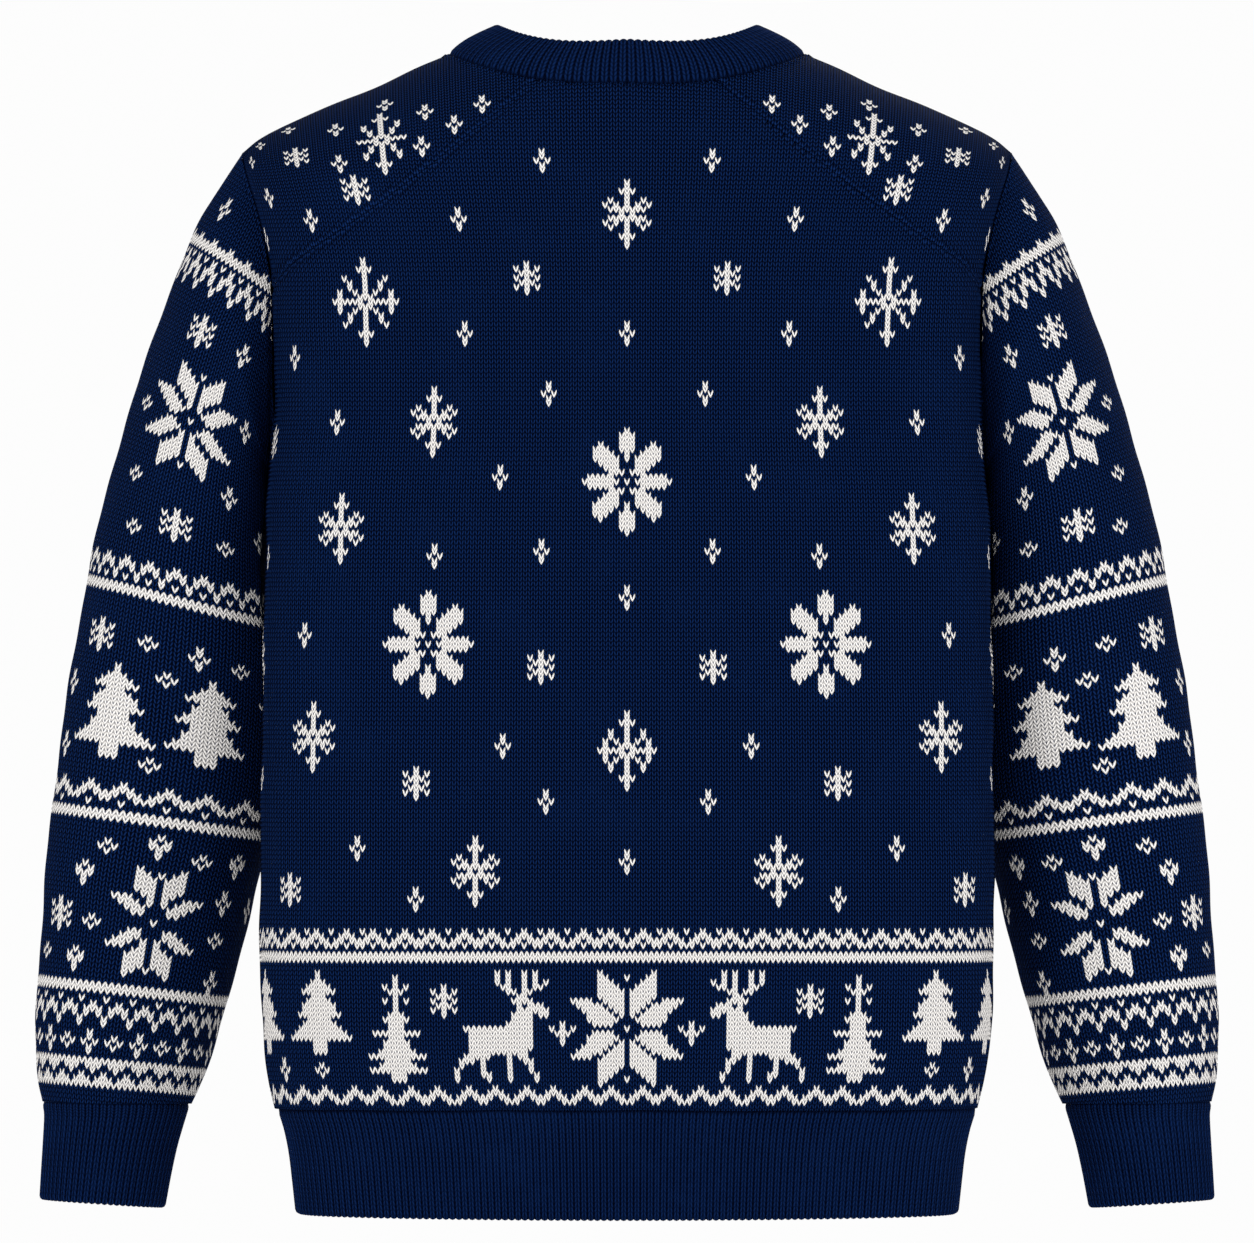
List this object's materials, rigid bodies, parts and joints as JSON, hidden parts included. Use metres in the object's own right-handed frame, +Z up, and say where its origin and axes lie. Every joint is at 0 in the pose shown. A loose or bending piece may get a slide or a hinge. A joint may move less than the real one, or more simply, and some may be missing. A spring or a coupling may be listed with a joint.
{
  "type": "christmas sweater",
  "caption": "Crew-neck knitted Christmas jumper in navy with white snowflakes, stars, trees and reindeer, filled out as worn.",
  "frame": {"origin": "middle of the neck opening, level with the points where the neckband meets the top of the shoulders, where the wearer's neck comes through", "axes": "+Z up, +Y towards the wearer's back, +X towards the wearer's left"},
  "size_m": [0.6976, 0.2274, 0.6964],
  "materials": {
    "knit": "matt two-colour knitting, navy ground with off-white motifs",
    "rib": "matt navy double rib"
  },
  "bodies": {
    "root": {"body_back": "knit", "body_front": "knit", "sleeve_left": "knit", "sleeve_right": "knit", "neckband": "rib", "hem_rib": "rib", "cuff_left": "rib", "cuff_right": "rib"}
  },
  "joints": []
}
